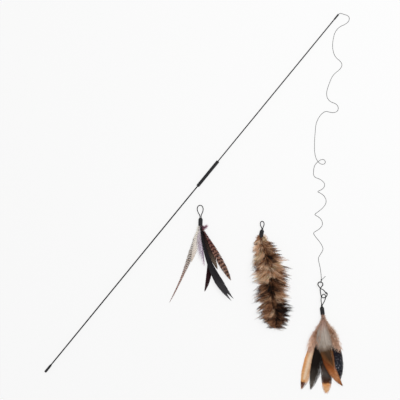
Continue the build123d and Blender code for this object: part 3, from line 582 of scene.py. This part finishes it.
def featherMaterial(name, look):  # keratin barbs: dull, with a soft sheen along the vane
    look = {"roughness": 0.6, "shine": 0.06, "patchU": 9.0, "patchV": 3.0, "drift": 0.12, "edgeShare": 0.8,
            "barDrift": False, "grain": 0.22, **look}
    mat, shader = newMaterial(name, look["roughness"], 1.54, look["shine"])  # barbs shade each other
    uv = addNode(mat, "ShaderNodeUVMap", uv_map="OFBake")
    split = addNode(mat, "ShaderNodeSeparateXYZ", None, {0: uv.outputs[0]})
    patchy = addNode(mat, "ShaderNodeMapping", {"Scale": (look["patchU"], look["patchV"], 1.0)}, {0: uv.outputs[0]})
    cloud = addNode(mat, "ShaderNodeTexNoise", {"Scale": 1.0, "Detail": 3.0}, {"Vector": patchy.outputs[0]})
    warp = addNode(mat, "ShaderNodeMath", {1: -0.5}, {0: cloud.outputs["Fac"]}, operation="ADD")
    drift = addNode(mat, "ShaderNodeMath", {1: look["drift"]}, {0: warp.outputs[0], 2: split.outputs["X"]},
                    operation="MULTIPLY_ADD").outputs[0]
    along = addNode(mat, "ShaderNodeValToRGB", None, {"Fac": drift})
    setStops(along, look["along"])
    middle = addNode(mat, "ShaderNodeMath", {1: -0.5}, {0: split.outputs["Y"]}, operation="ADD")
    off = addNode(mat, "ShaderNodeMath", None, {0: middle.outputs[0]}, operation="ABSOLUTE").outputs[0]
    layers = []  # laid over the vane's colour in turn: where, as (source, from, to, most), and in which colours
    if "edge" in look:  # another colour towards the barbs' tips
        layers.append(([(off, look["edgeFrom"] / 2, 0.5, look["edgeShare"])], [(0.0, look["edge"])]))
    if "edgeAfter" in look:  # which starts some way down the vane
        layers[-1][0].append((drift, look["edgeAfter"] - 0.08, look["edgeAfter"] + 0.08, 1.0))
    if "middle" in look:  # a darker or paler line along the shaft
        layers.append(([(off, look["middleTo"] / 2, 0.0, 1.0)], [(0.0, look["middle"])]))
    if "middleUntil" in look:  # which stops short of the tip
        layers[-1][0].append((drift, look["middleUntil"], look["middleUntil"] - 0.04, 1.0))
    if "bars" in look:  # bars follow the barbs, so they come out as chevrons
        phase = addNode(mat, "ShaderNodeMath", {1: look["bars"] * 2 * math.pi},
                        {0: drift if look["barDrift"] else split.outputs["X"]}, operation="MULTIPLY")
        bend = addNode(mat, "ShaderNodeMath", {1: look["barSlope"]}, {0: off, 2: phase.outputs[0]},
                       operation="MULTIPLY_ADD")
        wave = addNode(mat, "ShaderNodeMath", None, {0: bend.outputs[0]}, operation="SINE")
        layers.append(([(wave.outputs[0], -0.25, 0.35, look["barShare"])], look["barColours"]))
    if "barFrom" in look:  # towards the barbs' tips alone
        layers[-1][0].append((off, look["barFrom"] / 2, 0.45, 1.0))
    if "specks" in look:  # pale flecks
        grit = addNode(mat, "ShaderNodeMapping", {"Scale": (38.0, 9.0, 1.0)}, {0: uv.outputs[0]})
        flecks = addNode(mat, "ShaderNodeTexNoise", {"Scale": 1.0, "Detail": 1.0}, {"Vector": grit.outputs[0]})
        layers.append(([(flecks.outputs["Fac"], 0.62, 0.7, 1.0)], [(0.0, look["specks"])]))
    colour = along.outputs[0]
    for windows, stops in layers:
        shares = [addNode(mat, "ShaderNodeMapRange", {"From Min": low, "From Max": high, "To Max": most},
                          {"Value": source}).outputs[0] for source, low, high, most in windows]
        if len(shares) > 1:
            shares = addNode(mat, "ShaderNodeMath", None, dict(enumerate(shares)), operation="MULTIPLY").outputs
        ramp = addNode(mat, "ShaderNodeValToRGB", None, {"Fac": split.outputs["X"]})
        setStops(ramp, stops if len(stops) > 1 else stops * 2)
        colour = addNode(mat, "ShaderNodeMix", None, {"Factor": shares[0], "A": colour, "B": ramp.outputs[0]},
                         data_type="RGBA").outputs["Result"]
    streak = addNode(mat, "ShaderNodeMapping", {"Scale": (120.0, 2.0, 1.0)}, {0: uv.outputs[0]})
    fine = addNode(mat, "ShaderNodeTexNoise", {"Scale": 1.0, "Detail": 2.0}, {"Vector": streak.outputs[0]})
    tone = addNode(mat, "ShaderNodeMapRange", {"From Min": 0.3, "From Max": 0.7, "To Min": 1 - look["grain"],
                                               "To Max": 1 + look["grain"]}, {"Value": fine.outputs["Fac"]})
    shade = addNode(mat, "ShaderNodeHueSaturation", None, {"Color": colour, "Value": tone.outputs[0]})
    mat.node_tree.links.new(shade.outputs[0], shader.inputs["Base Color"])
    return mat


def shaftMaterial(name, root, tip):  # horny quill, pale at the root
    mat, shader = newMaterial(name, 0.5, 1.54, 0.15)
    uv = addNode(mat, "ShaderNodeUVMap", uv_map="OFBake")
    split = addNode(mat, "ShaderNodeSeparateXYZ", None, {0: uv.outputs[0]})
    ramp = addNode(mat, "ShaderNodeValToRGB", None, {"Fac": split.outputs["X"]})
    setStops(ramp, [(0.05, root), (0.7, tip)])
    mat.node_tree.links.new(ramp.outputs[0], shader.inputs["Base Color"])
    return mat


paleShaft = shaftMaterial("pale_quill", "#B99A86", "#A98A68")
darkShaft = shaftMaterial("dark_quill", "#8A6B52", "#2A211C")


def growLure(lure, feathers, darkOrders):  # the feathers that stand for CAD solids, from the lowest up
    for order, (node, look) in enumerate(feathers.items()):
        kind = node.split("_", 1)[1]
        name = lure + kind.title().replace("_", "")
        growFeather(name, lure, {"slot": kind, "order": order, **look}, featherMaterial(name + "Vane", look["look"]),
                    darkShaft if order in darkOrders else paleShaft, node)


vaneBase = {"shaft": 0.9, "start": -5.5, "base": 1.3, "barbs": 340, "angle": 34.0, "tipAngle": 20.0, "clumps": 6,
            "split": 0.7, "cover": 1.5, "shingle": 0.25, "camber": 0.5, "stray": 3.0, "curl": 1.4, "puff": 1.5,
            "fuzz": 4, "hair": 2.0, "fork": 0.0, "shaftTo": 0.97, "sides": (1.0, 1.0), "ragged": 0.0,
            "soft": ((0, 0.6), (0.2, 0.4), (0.35, 0), (1, 0))}
downBase = dict(vaneBase, barbs=380, angle=50.0, tipAngle=32.0, clumps=16, split=6.0, stray=6.0, curl=2.4, puff=3.0,
                fuzz=6, hair=3.0, shaft=0.7, ragged=0.45, soft=((0, 0.5), (0.3, 0.8), (1, 1)))
sideDownBase = dict(downBase, length=70, outline="tuft", slot="brown_down", clumps=11, ragged=0.7, angle=60.0,
                    tipAngle=42.0)
sideDownLook = {"edgeFrom": 0.3, "edgeShare": 0.95, "grain": 0.35, "drift": 0.7, "patchU": 7.0, "patchV": 5.0}

plumeFeathers = {
    "plume_dark_feather": dict(
        vaneBase, length=154, width=25, fan=1, bend=-12, outline="blunt", seed=11, look={
            "along": [(0.0, "#8A6455"), (0.4, "#4A2E22"), (0.62, "#46352C"), (0.74, "#504A46"), (0.81, "#3E2A20"),
                      (0.84, "#5A3522"), (0.865, "#DE9A60"), (0.93, "#EBB684"), (1.0, "#D69862")],
            "edge": "#5E3A28", "edgeFrom": 0.55, "edgeShare": 0.4, "drift": 0.05}),
    "plume_tan_feather": dict(
        vaneBase, length=150, width=24, fan=-27, bend=7, outline="broad", seed=12, sides=(0.82, 1.35),
        look={
            "along": [(0.1, "#8E6250"), (0.3, "#A5502F"), (0.42, "#D08656"), (0.5, "#E8AE7C"), (0.66, "#DE9C62"),
                      (0.84, "#E6B07A"), (0.885, "#D99A60"), (0.9, "#5A3626"), (0.95, "#6E4430"), (1.0, "#B87440")],
            "middle": "#F8E2C6", "middleTo": 0.5, "middleUntil": 0.87, "drift": 0.05, "grain": 0.16}),
    "plume_slate_feather": dict(
        vaneBase, length=131, width=22, fan=20, bend=-26, outline="broad", seed=13, look={
            "along": [(0.1, "#7A5C50"), (0.4, "#241A1E"), (0.6, "#1E1A20"), (0.78, "#2B2C33"), (0.9, "#19161B"),
                      (1.0, "#151216")],
            "edge": "#241F26", "edgeFrom": 0.5, "edgeShare": 0.5, "specks": "#9A9AA4", "roughness": 0.5}),
    "plume_black_feather": dict(
        vaneBase, length=146, width=25, fan=-12, bend=-9, outline="broad", seed=14, split=0.3,
        sides=(0.8, 1.15), look={
            # the grey stops at 0.8 and 0.92 are a painted sheen on the black vane
            "along": [(0.1, "#6E4E40"), (0.35, "#160E09"), (0.66, "#130D09"), (0.8, "#3A342F"), (0.92, "#5C554E"),
                      (1.0, "#3A322C")],
            "edge": "#20150E", "edgeFrom": 0.5, "edgeShare": 0.7, "drift": 0.16, "roughness": 0.5}),
    "plume_rufous_feather": dict(
        vaneBase, length=147, width=20, fan=-19, bend=54, outline="broad", seed=15, look={
            "along": [(0.1, "#8A6455"), (0.45, "#4A2A1A"), (0.6, "#763E20"), (0.72, "#9E5A2E"), (0.84, "#BC8258"),
                      (0.94, "#A8683A"), (1.0, "#5E3E26")],
            "edge": "#74411F", "edgeFrom": 0.5, "edgeShare": 0.7, "drift": 0.22, "grain": 0.3}),
    "plume_left_down": dict(
        sideDownBase, width=23, fan=-31, bend=6, seed=19, sides=(0.78, 1.2), look=dict(
            sideDownLook, edge="#F5DCCC",
            along=[(0.0, "#B08A78"), (0.3, "#DCA884"), (0.5, "#C08458"), (0.7, "#F0C2A0"), (1.0, "#FCE4D0")])),
    "plume_right_down": dict(
        sideDownBase, width=25, fan=21, bend=-6, seed=17, sides=(1.1, 0.85), look=dict(
            sideDownLook, edge="#F5E0CE",
            along=[(0.0, "#B08A78"), (0.3, "#D6A682"), (0.5, "#AC7850"), (0.7, "#D8A884"), (1.0, "#FAE0C8")])),
    "plume_front_feather": dict(
        downBase, length=102, width=38, fan=-11, bend=33, outline="down", seed=18, barbs=420, curl=1.6,
        puff=1.6, shaft=1.0, cover=1.7, angle=42.0, tipAngle=24.0, clumps=12, split=2.4, camber=1.4,
        sides=(1.0, 0.72), ragged=0.12, soft=((0, 0.5), (0.45, 0.45), (0.66, 0.15), (1, 0.05)), look={
            "along": [(0.0, "#B08A7A"), (0.1, "#C4A496"), (0.25, "#C2B5AA"), (0.48, "#B5A99D"), (0.58, "#8E7E70"),
                      (0.66, "#4E3A2A"), (0.8, "#3E2C1D"), (0.92, "#6A4528"), (1.0, "#94603A")],
            "middle": "#5E4A3E", "middleTo": 0.12, "edge": "#A2683C", "edgeFrom": 0.35, "edgeShare": 0.9,
            "edgeAfter": 0.68, "drift": 0.3, "patchU": 5.0, "patchV": 4.0, "grain": 0.12}),
}
growLure("plume", plumeFeathers, darkOrders=(0, 2, 3))
wispBase = dict(downBase, width=20, outline="tuft", slot="brown_down", barbs=80, cover=0.8, stray=7.0, curl=3.0,
                fuzz=3, shaft=0.5, clumps=9, ragged=0.7, angle=62.0, tipAngle=45.0)
wispRows = (  # length, fan, bend, order, colour, pale tip
    (60, -30, 8, 5, "#B07C5C", "#F6D8C4"), (74, -25, -8, 7, "#8E5E44", "#E6BEA6"),
    (58, 25, -10, 6, "#B48660", "#FAE6D2"), (74, 17, 4, 7, "#7E5640", "#D6AC92"))
for number, (length, fan, bend, order, colour, pale) in enumerate(wispRows):
    wispLook = dict(wispBase, length=length, fan=fan, bend=bend, order=order, seed=41 + number)
    wispMat = featherMaterial("plumeWispVane" + str(number), {
        "along": [(0.0, "#A5806E"), (0.4, colour), (1.0, pale)], "edge": pale, "edgeFrom": 0.4, "grain": 0.35,
        "drift": 0.5})
    growFeather("plumeWisp" + str(number), "plume", wispLook, wispMat, paleShaft)
print("plume grown")

hackleBase = dict(vaneBase, start=0.5)  # the streamers' barbs start past the crimp
streamerFeathers = {
    "streamer_maroon_feather": dict(
        hackleBase, length=136, width=11, fan=29, bend=-48, outline="sickle", seed=21, barbs=260,
        angle=24.0, tipAngle=14.0, look={
            "along": [(0.1, "#42221F"), (0.5, "#2E1518"), (0.85, "#241013"), (1.0, "#33171A")],
            "edge": "#44222A", "edgeFrom": 0.5, "edgeShare": 0.5}),
    "streamer_grizzly_feather": dict(
        hackleBase, length=166, width=13, fan=-13, bend=-14, outline="whip", seed=22, barbs=230,
        angle=42.0, cover=0.85, split=1.5, clumps=60, look={
            "along": [(0.1, "#DDD3C8"), (0.4, "#C6B6A8"), (0.62, "#BC9888"), (1.0, "#A67A6E")],
            "bars": 40, "barShare": 0.95, "barSlope": -4.0, "barDrift": True, "drift": 0.02,
            "barColours": [(0.1, "#4E4642"), (0.25, "#38302C"), (0.5, "#342A26"), (0.65, "#542E2A"),
                           (1.0, "#4A2826")]}),
    "streamer_ash_feather": dict(
        hackleBase, length=93, width=11, fan=20, bend=4, outline="broad", seed=27, barbs=240, angle=30.0,
        tipAngle=16.0, base=3.2, look={
            "along": [(0.1, "#1E1416"), (0.6, "#43362F"), (0.85, "#7E6F60"), (1.0, "#665848")],
            "bars": 26, "barShare": 0.6, "barSlope": -3.0, "barColours": [(0.2, "#1A1214"), (1.0, "#43352C")]}),
    "streamer_pale_feather": dict(
        hackleBase, length=74, width=14, fan=-8, bend=-6, outline="hackle", seed=24, barbs=220, angle=36.0,
        tipAngle=22.0, cover=1.2, clumps=24, split=1.4, base=3.4,
        soft=((0, 0.8), (0.4, 0.4), (0.7, 0.1), (1, 0)), look={
            "along": [(0.1, "#FBF6EC"), (0.5, "#F4ECE2"), (1.0, "#E0D0C2")],
            "bars": 22, "barShare": 0.9, "barSlope": -4.0, "barFrom": 0.62, "grain": 0.08,
            "barColours": [(0.2, "#D2CAC0"), (0.5, "#5E534C"), (1.0, "#4E4038")]}),
    "streamer_barred_feather": dict(
        hackleBase, length=124, width=14, fan=29, bend=2, outline="broad", seed=25, barbs=260, angle=38.0,
        tipAngle=18.0, clumps=36, split=1.6, base=3.0, look={
            "along": [(0.05, "#643438"), (0.25, "#744642"), (0.45, "#866052"), (0.7, "#947262"), (1.0, "#80604E")],
            "edge": "#BFA08C", "edgeFrom": 0.6, "edgeShare": 0.6, "drift": 0.09, "patchU": 16.0, "patchV": 5.0,
            "bars": 17, "barShare": 0.92, "barSlope": -4.0, "barDrift": True,
            "barColours": [(0.1, "#3C1A20"), (0.4, "#321A1A"), (0.8, "#2C1A16"), (1.0, "#281812")]}),
    "streamer_lavender_down": dict(
        downBase, length=80, width=22, fan=9, bend=-2, outline="down", seed=26, barbs=260, angle=34.0,
        tipAngle=20.0, curl=1.4, puff=0.5, fuzz=0, start=0.5, base=2.4, sides=(1.0, 0.05), ragged=0.16, look={
            "along": [(0.0, "#EDE6E2"), (0.3, "#D2C6D0"), (0.55, "#AC98B0"), (0.78, "#8E7490"), (1.0, "#DDBFCF")],
            "edge": "#DCCCDC", "edgeFrom": 0.35, "edgeShare": 0.7, "grain": 0.12}),
    "streamer_satin_feather": dict(
        hackleBase, length=165, width=16, fan=6, bend=38, outline="lance", seed=23, base=2.4, cover=1.9,
        barbs=300, angle=20.0, tipAngle=12.0, fork=2.2, shaftTo=0.88, look={
            # the greyer stops from 0.66 to 0.92 are a painted sheen on the black vane
            "along": [(0.1, "#0F0E12"), (0.5, "#121115"), (0.66, "#1E1C1F"), (0.76, "#302F31"), (0.92, "#353437"),
                      (1.0, "#222123")],
            "edge": "#1C1B1E", "edgeFrom": 0.5, "edgeShare": 0.5, "roughness": 0.4, "shine": 0.12}),
}
growLure("streamer", streamerFeathers, darkOrders=(0, 2, 4, 6))
baseLook = dict(
    downBase, length=48, width=15, fan=17, bend=4, outline="hackle", order=1, seed=29, slot="maroon_feather",
    barbs=200, shaft=0.5, start=0.5, base=3.2, split=0.0, stray=1.0, curl=0.4, puff=0.3, fuzz=0, cover=2.6,
    soft=((0, 0.15), (1, 0.15)), ragged=0.0, look={
        "along": [(0.0, "#2A1416"), (0.5, "#46222A"), (1.0, "#5A2E34")]})
tuftLook = dict(
    downBase, length=13, width=9, fan=32, bend=130, outline="tuft", order=4, seed=28, slot="lavender_down",
    barbs=110, shaft=0.4, start=0.5, base=0.8, curl=0.8, puff=1.2, look={
        "along": [(0.0, "#6E3A4A"), (0.5, "#8E5C70"), (1.0, "#D3B4C0")], "edge": "#C9A4B2", "edgeFrom": 0.4,
        "grain": 0.15})
for name, look in (("streamerBase", baseLook), ("streamerTuft", tuftLook)):
    growFeather(name, "streamer", look, featherMaterial(name + "Vane", look["look"]), darkShaft)
print("streamers grown")

# Fluffy tail: locks of barbs tied to a twisted core, swept towards the end, with thin hackles standing out
tailLook = {"reach": 181.2, "coreDiameter": 2.0, "coreLay": 7.0, "coreIn": 7.85, "straightOut": 2.0,
            "coreShare": 0.94, "steps": 24, "fluffFrom": 9.95, "halfWidth": 36.0, "heightShare": 0.43, "rings": 40,
            "around": 16, "sweep": 8.0, "rootSpread": 2.6, "curl": (2, 2, 1), "bowSpread": (1.4, 1.4, 1.4),
            "bowOut": 0.2, "lowest": 0.2, "ridge": 0.18, "roll": 0.6, "stops": (0, 0.35, 0.72, 1),
            "widths": (0.6, 1.0, 0.85), "cellFrom": (0.08, 0.04), "cellSpan": (0.86, 0.92), "parting": 17.0,
            "patchLength": 0.05, "patchWidth": 0.4, "ground": 0.02, "toneSpread": 0.22, "hueSpread": 0.14,
            "hackleChance": 0.65, "seed": 31}
tailRouteShares = ((0.022, 0.106), (0.072, 0.216), (0.108, 0.338), (0.122, 0.459), (0.125, 0.58),
                   (0.13, 0.702), (0.155, 0.812), (0.176, 0.912), (0.169, 1.0))
fluffShares = ((0.0, 0.3), (0.12, 0.68), (0.28, 0.96), (0.45, 1.0), (0.64, 0.97), (0.8, 0.9), (0.92, 0.82), (1.0, 0.5))
tailWay = heading(lureLook["tail"]["heading"])
tailTop = Vector((*lureLook["tail"]["top"], crimpLook["height"]))
tailMouth = tailTop + tailWay * crimpLook["length"]
tailRoute = [tailTop + tailWay * tailLook["coreIn"], tailMouth + tailWay * tailLook["straightOut"]]
tailRoute += [tailMouth + Vector((right, -below, 0)) * tailLook["reach"] for right, below in tailRouteShares]
tailLine = splineLine("tailLine", tailRoute, tailLook["steps"])
coreMat = mottledMaterial("twisted_jute", dict(  # brown yarn, dull
    yarnBase, roughness=0.8, grain=(0.4, 0.4, 0.4), stops=[(0.3, "#3A2A20"), (0.75, "#6E543E")]))
coreLine = tailLine[:int(len(tailLine) * tailLook["coreShare"])]
layCord("tailCore", [(coreLine, tailLook["coreDiameter"], tailLook["coreLay"])], coreMat, "tail_lure", "core_cord",
        "tail_core", sides=7)

tailRun = [0.0]
for a, b in zip(tailLine, tailLine[1:]):
    tailRun.append(tailRun[-1] + (b - a).length)
fluffLength = tailRun[-1] - tailLook["fluffFrom"]  # the core's start lies in the glue
rings, around = tailLook["rings"], tailLook["around"]


def tailSpot(distance):  # the core's line at a distance along the fluff, and the way there
    goal = min(max(distance + tailLook["fluffFrom"], 0.0), tailRun[-1])
    index = max(i for i, run in enumerate(tailRun[:-1]) if run <= goal)
    a, b = tailLine[index], tailLine[index + 1]
    share = (goal - tailRun[index]) / (tailRun[index + 1] - tailRun[index])
    return a + (b - a) * share, (b - a).normalized()


def scatter(rng, spreads):
    return Vector([rng.gauss(0, spread) for spread in spreads])


# Markings of the tail as (share along, side, tone): 0 black, 0.4 brown, 0.6 peach, 0.75 cream, 0.85 gold, 1 olive
lockPatches = (
    (0.03, -0.5, 0.42), (0.04, 0.7, 0.85), (0.09, 0.1, 0.3), (0.16, 0.0, 0.45), (0.37, 0.0, 0.55), (0.44, 0.0, 0.62),
    (0.7, 0.1, 0.2), (0.12, 0.8, 0.25), (0.3, -0.9, 0.3), (0.41, 0.9, 0.35), (0.57, -0.9, 0.25), (0.12, -0.8, 0.6),
    (0.17, 0.5, 0.58), (0.19, -0.7, 0.96), (0.25, 0.0, 0.15), (0.27, 0.6, 0.12), (0.33, -0.8, 0.62), (0.34, 0.7, 0.95),
    (0.43, 0.5, 0.52), (0.47, -0.8, 0.75), (0.51, 0.1, 0.15), (0.52, 0.8, 0.35), (0.6, 0.1, 0.05), (0.63, -0.7, 0.28),
    (0.68, 0.6, 0.58), (0.76, -0.7, 0.36), (0.81, 0.6, 0.03), (0.86, -0.3, 0.5), (0.92, 0.4, 0.2), (0.95, -0.6, 0.42),
    (0.98, 0.5, 0.3))


def addLock(store, rng, cell, along, angle, wide, tall, tone, lock):  # one lock of barbs that share a tip and a curl
    spot, way = tailSpot(along * fluffLength)
    lag = tailLook["sweep"] * (0.3 + wide / tailLook["halfWidth"]) * rng.uniform(0.3, 1.5)  # roots lie further up
    lockTip = spot + Vector((-way.y, way.x, 0)) * (wide * math.cos(angle))
    lockTip.z = max(2 * tailLook["lowest"], tall + tall * math.sin(angle))
    curl = scatter(rng, tailLook["curl"])
    (fromU, fromV), (spanU, spanV) = tailLook["cellFrom"], tailLook["cellSpan"]
    lockV = ((cell[1] + fromV) / around, (cell[1] + fromV + spanV * lock["shown"]) / around)
    for barb in range(lock["barbs"]):
        root = tailSpot(along * fluffLength - lag + rng.gauss(0, tailLook["rootSpread"]))[0]
        tip = root + (lockTip - root) * (1 - lock["thin"] * rng.random())
        tip += scatter(rng, [lock["spread"]] * 3)
        tip.z = max(tailLook["lowest"], tip.z)
        outward = tip - root - way * (tip - root).dot(way)
        bow = root + (tip - root) * 0.5 + outward * tailLook["bowOut"] + curl + scatter(rng, tailLook["bowSpread"])
        bow.z = max(tailLook["lowest"], bow.z)
        points = [root * (1 - s) ** 2 + bow * (2 * s * (1 - s)) + tip * (s * s) for s in tailLook["stops"]]
        widths = [lock["width"] * w for w in tailLook["widths"]]
        roll = rng.uniform(-tailLook["roll"], tailLook["roll"])
        flats = []
        for p, q in zip(points, points[1:]):
            step = (q - p).normalized()
            level = step.cross(upward)
            level = level.normalized() if level.length > 0.05 else step.orthogonal().normalized()
            flats.append(spoke(level, step.cross(level), roll))
        barbU = (cell[0] + fromU + spanU * barb / lock["barbs"]) / rings
        addBarb(store, points, widths, flats, tailLook["ridge"], [barbU] * 4, 0.3 / lock["barbs"] / rings, lockV)
        hue = min(1.0, max(0.0, tone + rng.uniform(-1, 1) * tailLook["hueSpread"]))
        store["tones"] += [hue] * (len(store["verts"]) - len(store["tones"]))


rng = random.Random(tailLook["seed"])
fluffStore, hackleStore = newStore(), newStore()
fluffLock = {"barbs": 18, "width": 0.42, "spread": 2.2, "thin": 0.5, "shown": 0.8,
             "wide": (0.78, 1.0), "tall": (0.85, 1.02)}
hackleLock = {"barbs": 20, "width": 0.34, "spread": 0.6, "thin": 0.35, "shown": 1.0,
              "wide": (0.95, 1.32), "tall": (0.9, 1.05), "darker": 0.06}
for ring in range(rings):
    for tuft in range(around):
        along = (ring + rng.uniform(-0.4, 1.4)) / rings
        turn = (tuft + 0.5 * (ring % 2) + rng.uniform(-0.5, 0.5)) / around - 0.5
        angle = math.radians(90 + 360 * turn * (0.7 + 0.6 * abs(turn)))  # more locks above than below
        top = max(0.0, 1 - abs(math.degrees(angle) - 90) / tailLook["parting"])  # the back's parting, where the locks are lower, darker and show more of their darkened roots
        full = tailLook["halfWidth"] * readShare(fluffShares, along)
        tall = full * tailLook["heightShare"] * (1 - 0.3 * top)
        tone, weight = tailLook["ground"] * rng.random(), tailLook["ground"]
        for place, side, shade in lockPatches:
            near = math.exp(-((along - place) / tailLook["patchLength"]) ** 2
                            - ((math.cos(angle) - side) / tailLook["patchWidth"]) ** 2)
            tone, weight = tone + near * shade, weight + near
        # at the parting the tone is lowered: painted shade in the cleft along the back, together with the dark roots
        # that show there
        tone = tone / weight * (1 - 0.15 * top) + rng.uniform(-1, 1) * tailLook["toneSpread"]
        addLock(fluffStore, rng, (ring, tuft), along, angle, full * rng.uniform(*fluffLock["wide"]),
                tall * rng.uniform(*fluffLock["tall"]), tone,
                dict(fluffLock, shown=fluffLock["shown"] * (1 - 0.2 * top)))
        if rng.random() < tailLook["hackleChance"] and math.sin(angle) > -0.5:
            addLock(hackleStore, rng, (ring, tuft), along, angle, full * rng.uniform(*hackleLock["wide"]),
                    tall * rng.uniform(*hackleLock["tall"]), tone - hackleLock["darker"], hackleLock)
looseWisp = {"along": 0.9, "angle": math.radians(186), "wide": tailLook["halfWidth"] * 1.3, "tall": 6.0, "tone": 0.4}
addLock(hackleStore, rng, (0, 0), lock=hackleLock, **looseWisp)

fluffMat, fluffShader = newMaterial("hackle_fluff", 0.65, 1.54, 0.15)  # buff barbs with dark tips, and roots darkened partly in their own colour and partly with painted shade deep in the fluff
fluffUv = addNode(fluffMat, "ShaderNodeUVMap", uv_map="OFBake")
fluffCells = addNode(fluffMat, "ShaderNodeMapping", {"Scale": (rings, around, 1.0)}, {0: fluffUv.outputs[0]})
fluffInside = addNode(fluffMat, "ShaderNodeVectorMath", None, {0: fluffCells.outputs[0]}, operation="FRACTION")
fluffShare = addNode(fluffMat, "ShaderNodeSeparateXYZ", None, {0: fluffInside.outputs[0]})
fluffTone = addNode(fluffMat, "ShaderNodeAttribute", attribute_name="lockTone")
fluffRamp = addNode(fluffMat, "ShaderNodeValToRGB", None, {"Fac": fluffTone.outputs["Fac"]})
setStops(fluffRamp, [(0.0, "#130C08"), (0.2, "#3A2418"), (0.4, "#A06C4A"), (0.52, "#E6B288"), (0.62, "#FFDAB4"),
                     (0.75, "#FFF2DE"), (0.87, "#DDB67C"), (1.0, "#85774E")])
# darker towards each barb's root: partly the barbs' own dark roots, partly painted shade where the roots lie deep in
# the fluff
fluffRootDarkAndShade = addNode(fluffMat, "ShaderNodeValToRGB", None, {"Fac": fluffShare.outputs["Y"]})
setStops(fluffRootDarkAndShade, [(0.0, "#4A3024"), (0.2, "#B09686"), (0.38, "#FFFFFF")])
fluffColour = addNode(fluffMat, "ShaderNodeMix", {"Factor": 1.0},
                      {"A": fluffRamp.outputs[0], "B": fluffRootDarkAndShade.outputs[0]}, data_type="RGBA", blend_type="MULTIPLY")
fluffTip = addNode(fluffMat, "ShaderNodeMapRange", {"From Min": 0.76, "From Max": 0.84, "To Max": 0.96},
                   {"Value": fluffShare.outputs["Y"]})  # only the hackles reach this far
fluffTipped = addNode(fluffMat, "ShaderNodeMix", {"B": linearColour("#1C120D")},
                      {"Factor": fluffTip.outputs[0], "A": fluffColour.outputs["Result"]}, data_type="RGBA")
fluffMat.node_tree.links.new(fluffTipped.outputs["Result"], fluffShader.inputs["Base Color"])
finishMesh("tailFluff", fluffStore, [fluffMat], "tail_lure", "tail_fluff", ["tail_fluff"])
finishMesh("tailHackles", hackleStore, [fluffMat], "tail_lure", "tail_fluff")
print("tail fluffed,", len(fluffStore["faces"]), "and", len(hackleStore["faces"]), "faces")
